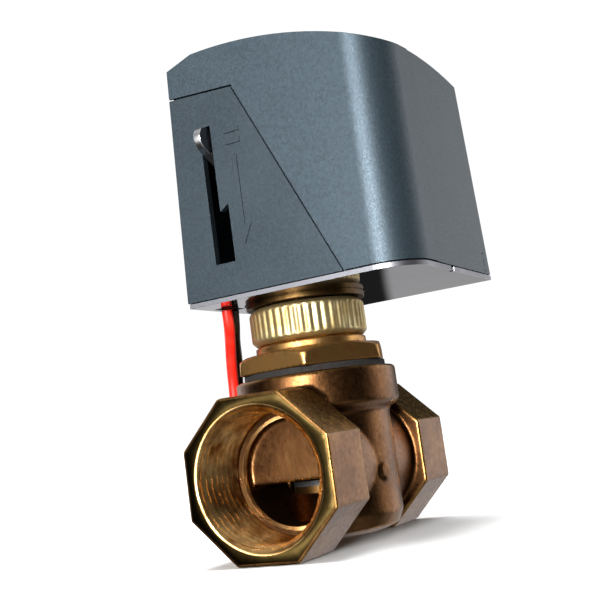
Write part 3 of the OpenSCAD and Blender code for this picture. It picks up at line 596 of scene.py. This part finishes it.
def thread_sleeve(name, side):
    """The faced ring, the chamfer, the thread and the shoulder behind it, as one open surface. A row is a
    radius and a distance from the middle. Where the radius is negative it counts inwards from the
    octagon's flats, and where it is None it follows the thread."""
    steps = 160
    faced = FACE_Y + 0.03
    lip_r = 16.75
    thread_depth = 16.9
    rows_per_pitch = 10
    rows = [(-0.3, FACE_Y - 0.5), (-0.42, FACE_Y - 0.16), (-0.8, faced), (17.2, faced), (lip_r, FACE_Y - 0.05)]
    first_turned = len(rows) - 2
    depth = 0.3
    while depth < thread_depth:
        rows.append((None, FACE_Y - 0.05 - depth))
        depth += THREAD_PITCH / rows_per_pitch
    rows += [(THREAD_R + 1.0, 19.25), (FLOW_R - 0.05, 19.15), (FLOW_R - 0.05, 18.6)]
    verts, faces = [], []
    for i in range(steps):
        a = 2 * math.pi * i / steps
        for r, y in rows:
            if r is not None and r < 0:
                from_flat = (math.degrees(a) + 22.5) % 45 - 22.5
                r += END_FLATS / 2 / math.cos(math.radians(from_flat))
            if r is None:
                phase = ((FACE_Y - y) / THREAD_PITCH + a / (2 * math.pi) * side) % 1.0
                wave = abs(phase * 2 - 1)
                r = THREAD_R + 0.05 + 1.1 * min(1.0, max(0.0, wave * 1.3 - 0.12))
                r = max(r, 16.7 - (FACE_Y - y) * 1.05)
            verts.append((r * math.cos(a) * MM, side * y * MM, (PIPE_Z + r * math.sin(a)) * MM))
    n = len(rows)
    for i in range(steps):
        j = (i + 1) % steps
        for k in range(n - 1):
            quad = (i * n + k, j * n + k, j * n + k + 1, i * n + k + 1)
            faces.append(quad if side > 0 else quad[::-1])
    obj = mesh_from(name, verts, faces)
    link(obj, smooth_angle=50)
    paint(obj, THREAD)
    obj.data.materials.append(END_FACE)
    for i, p in enumerate(obj.data.polygons):
        p.material_index = 1 if i % (n - 1) < first_turned else 0
    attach(obj, "body")


thread_sleeve("inlet_thread", -1)
thread_sleeve("outlet_thread", 1)

# ---- bonnet and hub ----

bonnet = copy_of("bonnet_turned", "bonnet")
round_uprights(bonnet, 3.6, 19)
soften(bonnet, 0.3, 3)
paint(bonnet, BONNET)
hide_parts("bonnet")
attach(bonnet, "body")

hub = bevelled("hub_turned", 0.25, "hub")
paint(hub, HUB)

# ---- union nut: turned, with rounded flutes ----

NUT_Z = 52.0
NUT_R = 15.3
NUT_H = 9.5
FLUTES = 44
nut_profile = [
    (13.5, 0.0), (NUT_R - 1.35, 0.0), (NUT_R - 1.05, 0.06), (NUT_R - 0.35, 0.75), (NUT_R - 0.12, 1.05),
    (NUT_R - 0.04, 1.25), (NUT_R, 1.55), (NUT_R, 2.2), (NUT_R, 3.4), (NUT_R, 4.8), (NUT_R, 6.2),
    (NUT_R, 7.2), (NUT_R, 7.8), (NUT_R - 0.04, 8.1), (NUT_R - 0.15, 8.45), (NUT_R - 0.5, 8.85),
    (NUT_R - 1.1, 9.35), (NUT_R - 1.4, NUT_H), (11.2, NUT_H), (10.8, 9.4), (10.8, 8.8), (13.5, 8.7)
]


def flute(angle, row):
    """How far a flute cuts in, fading out towards both ends of the band and never quite even."""
    r, h = nut_profile[row]
    if r < NUT_R - 0.2:
        return 0.0
    fade = min(1.0, max(0.0, (h - 0.95) / 0.8)) * min(1.0, max(0.0, (8.5 - h) / 0.8))
    wave = 0.5 + 0.5 * math.cos(FLUTES * angle)
    uneven = 1 + 0.12 * math.sin(5 * angle + 1) + 0.08 * math.sin(11 * angle)
    return -0.34 * fade * wave ** 1.4 * uneven


nut = lathe("union_nut_fluted", nut_profile, FLUTES * 10, flute, foot=NUT_Z)
link(nut, smooth_angle=40)
paint(nut, NUT)
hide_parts("union_nut")
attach(nut, "nut")

# ---- housing ----

# The CAD node, the piece's name, the width of its rounded edges in millimetres, and its material
for node, name, width, material in (
    ("cover", "cover_moulding", 0.5, COVER),
    ("base_tray", "tray_moulding", 0.3, PANEL),
    ("base_plate", "plate_pressing", 0.3, PLATE),
    ("manual_lever", "lever_blade", 0.35, LEVER),
    ("lead_bush", "lead_grommet", 0.3, RUBBER),
    ("cover_screws", "cover_screw", 0.3, STEEL),
    ("hub_screws", "hub_screw", 0.2, STEEL),
    ("stem_cap", "stem_button", 0.3, HUB),
):
    piece = bevelled(name, width, node)
    paint(piece, material)

# The cut edge of the base plate is rougher than its face, and its dark colour is painted shade under the
# housing; the lever's rim is bright metal, a painted highlight
for name, material, across, least in (
    ("plate_pressing", sheet_metal("plate_edge_painted_shade", (0.2, 0.2, 0.22), 0.4, 0.55), 2, 0.5),
    # bright metal on the lever's side faces: a painted highlight along its rim
    ("lever_blade", sheet_metal("lever_rim_highlight", (0.7, 0.7, 0.72), 0.2, 0.36), 0, 0.9),
):
    mesh = bpy.data.objects[name].data
    mesh.materials.append(material)
    for p in mesh.polygons:
        if abs(p.normal[across]) < least:
            p.material_index = 1

# ---- springs, copied from the CAD with meshes of their own ----

# The height of the foot that stays put, in millimetres, and how much of the length is left at the limit
for node, joint, foot, keep in (
    ("plunger_spring", "plunger_slide", 70.0, 0.51), ("stem_spring", "stem_slide", 46.5, 0.456)
):
    spring = copy_of(node + "_coil", node)
    link(spring, smooth_angle=60)
    paint(spring, STEEL)
    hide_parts(node)
    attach(spring, BODY_OF[node])
    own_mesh(spring)

# ---- the CAD nodes that stay as they are ----

for material, nodes in (
    (SHADED_FIBRE, "bonnet_gasket"),
    (PLUG, "plug_plate plug_nut"),
    (HUB, "stem_gland frame_pillars rotor_pinion cross_shaft_bushes"),
    (RUBBER, "stem_o_rings plug_seal"),
    (STEEL, "stem frame_plate_left frame_plate_middle frame_plate_right frame_screws cross_shaft "
            "rack_pinion sector_gear gear_pins motor_can motor_end_plate rotor_shaft motor_screws"),
    (ACETAL, "rack_plunger gear_1 gear_2 gear_3"),
    (NYLON, "coil_bobbin terminal_block"),
    (COPPER, "motor_coil"),
    (FERRITE, "rotor_magnet"),
    (RED, "inner_leads"),
):
    for node in nodes.split():
        paint_node(node, material)

# ---- floor, world and lights ----

FLOOR_R = 9.0
FLOOR_DROP = 0.0002
floor_mesh = bpy.data.meshes.new("floor")
bm = bmesh.new()
bmesh.ops.create_circle(bm, cap_ends=True, segments=96, radius=FLOOR_R)
bm.to_mesh(floor_mesh)
bm.free()
floor = bpy.data.objects.new("floor", floor_mesh)
bpy.context.scene.collection.objects.link(floor)
floor.location = (0, 0, -FLOOR_DROP)
paper = Mat("floor_paper")
paper_tone = paper.ramp(paper.noise(0.02, 3), (0.3, 0.93), (0.7, 0.96))
paper.set(Roughness=0.9, Specular_IOR_Level=0.1)
paint(floor, paper.finish(paper_tone))
floor.visible_glossy = False
floor.visible_diffuse = False

world = bpy.data.worlds.new("studio")
bpy.context.scene.world = world
world.use_nodes = True
wt = world.node_tree
wt.nodes.clear()
direction = wt.nodes.new("ShaderNodeTexCoord").outputs["Generated"]


def heading(azimuth, elevation):
    """The direction at that azimuth from +X and that elevation, in degrees."""
    a, e = math.radians(azimuth), math.radians(elevation)
    return math.cos(a) * math.cos(e), math.sin(a) * math.cos(e), math.sin(e)


def toward(azimuth, elevation, edge0, value0, edge1, value1):
    """A soft patch in the surroundings, centred on a direction. The edges are cosines of the angle from it."""
    dot = wt.nodes.new("ShaderNodeVectorMath")
    dot.operation = "DOT_PRODUCT"
    wt.links.new(direction, dot.inputs[0])
    dot.inputs[1].default_value = heading(azimuth, elevation)
    ramp = wt.nodes.new("ShaderNodeMapRange")
    ramp.interpolation_type = "SMOOTHSTEP"
    wt.links.new(dot.outputs["Value"], ramp.inputs["Value"])
    for key, value in zip(("From Min", "From Max", "To Min", "To Max"), (edge0, edge1, value0, value1)):
        ramp.inputs[key].default_value = value
    return ramp.outputs["Result"]


def plus(a, b):
    n = wt.nodes.new("ShaderNodeMath")
    n.operation = "ADD"
    wt.links.new(a, n.inputs[0])
    wt.links.new(b, n.inputs[1])
    return n.outputs[0]


# Softboxes: azimuth, elevation, outer edge and strength there, inner edge and strength there
GLOWS = (
    (50, 7, 0.82, 0.014, 0.97, 2.05),
    (-98, -4, 0.87, 0.0, 0.98, 1.65),
    (-112, 30, 0.72, 0.0, 0.93, 0.12),
    (-83, 7, 0.979, 0.0, 0.989, 80.0),
    (-60, 88, 0.6, 0.0, 1.0, 0.7),
    (80, -36, 0.8, 0.0, 0.96, 0.9),
    (-40, -50, 0.6, 0.0, 1.0, 0.3),
    (160, 25, 0.8, 0.0, 0.97, 1.1),
    (155, -15, 0.9, 0.0, 0.985, 0.9),
    (101, -8, 0.9805, 0.0, 0.983, 0.34),
    (131, -8, 0.9805, 0.0, 0.983, 0.55),
)
sky = toward(*GLOWS[0])
for glow in GLOWS[1:]:
    sky = plus(sky, toward(*glow))
background = wt.nodes.new("ShaderNodeBackground")
wt.links.new(sky, background.inputs["Strength"])
background.inputs["Color"].default_value = (1.0, 1.0, 1.0, 1)
backdrop = wt.nodes.new("ShaderNodeBackground")
backdrop.inputs["Color"].default_value = (1.0, 1.0, 1.0, 1)
backdrop.inputs["Strength"].default_value = 1.05
seen = wt.nodes.new("ShaderNodeLightPath")
chosen = wt.nodes.new("ShaderNodeMixShader")
wt.links.new(seen.outputs["Is Camera Ray"], chosen.inputs[0])
wt.links.new(background.outputs[0], chosen.inputs[1])
wt.links.new(backdrop.outputs[0], chosen.inputs[2])
output = wt.nodes.new("ShaderNodeOutputWorld")
wt.links.new(chosen.outputs[0], output.inputs[0])


# A wide sun overhead that reaches the floor alone, for its soft shadow
sun = bpy.data.lights.new("overhead", "SUN")
sun.energy = 3.4
sun.angle = math.radians(30)
overhead = bpy.data.objects.new("overhead", sun)
bpy.context.scene.collection.objects.link(overhead)
lit = bpy.data.collections.new("lit_from_overhead")
lit.objects.link(floor)
overhead.light_linking.receiver_collection = lit

# A tall panel light, in front of the housing and to its left
key_data = bpy.data.lights.new("key", "AREA")
key_data.shape = "RECTANGLE"
key_data.size, key_data.size_y = 0.2, 0.4
key_data.energy = 0.4
key = bpy.data.objects.new("key", key_data)
bpy.context.scene.collection.objects.link(key)
key_aim = Vector((0, 0, 0.07))
key.location = key_aim + 0.9 * Vector(heading(-108, 24))
key.rotation_mode = "QUATERNION"
key.rotation_quaternion = (key_aim - key.location).to_track_quat("-Z", "Y")
bpy.context.scene.view_settings.view_transform = "Standard"
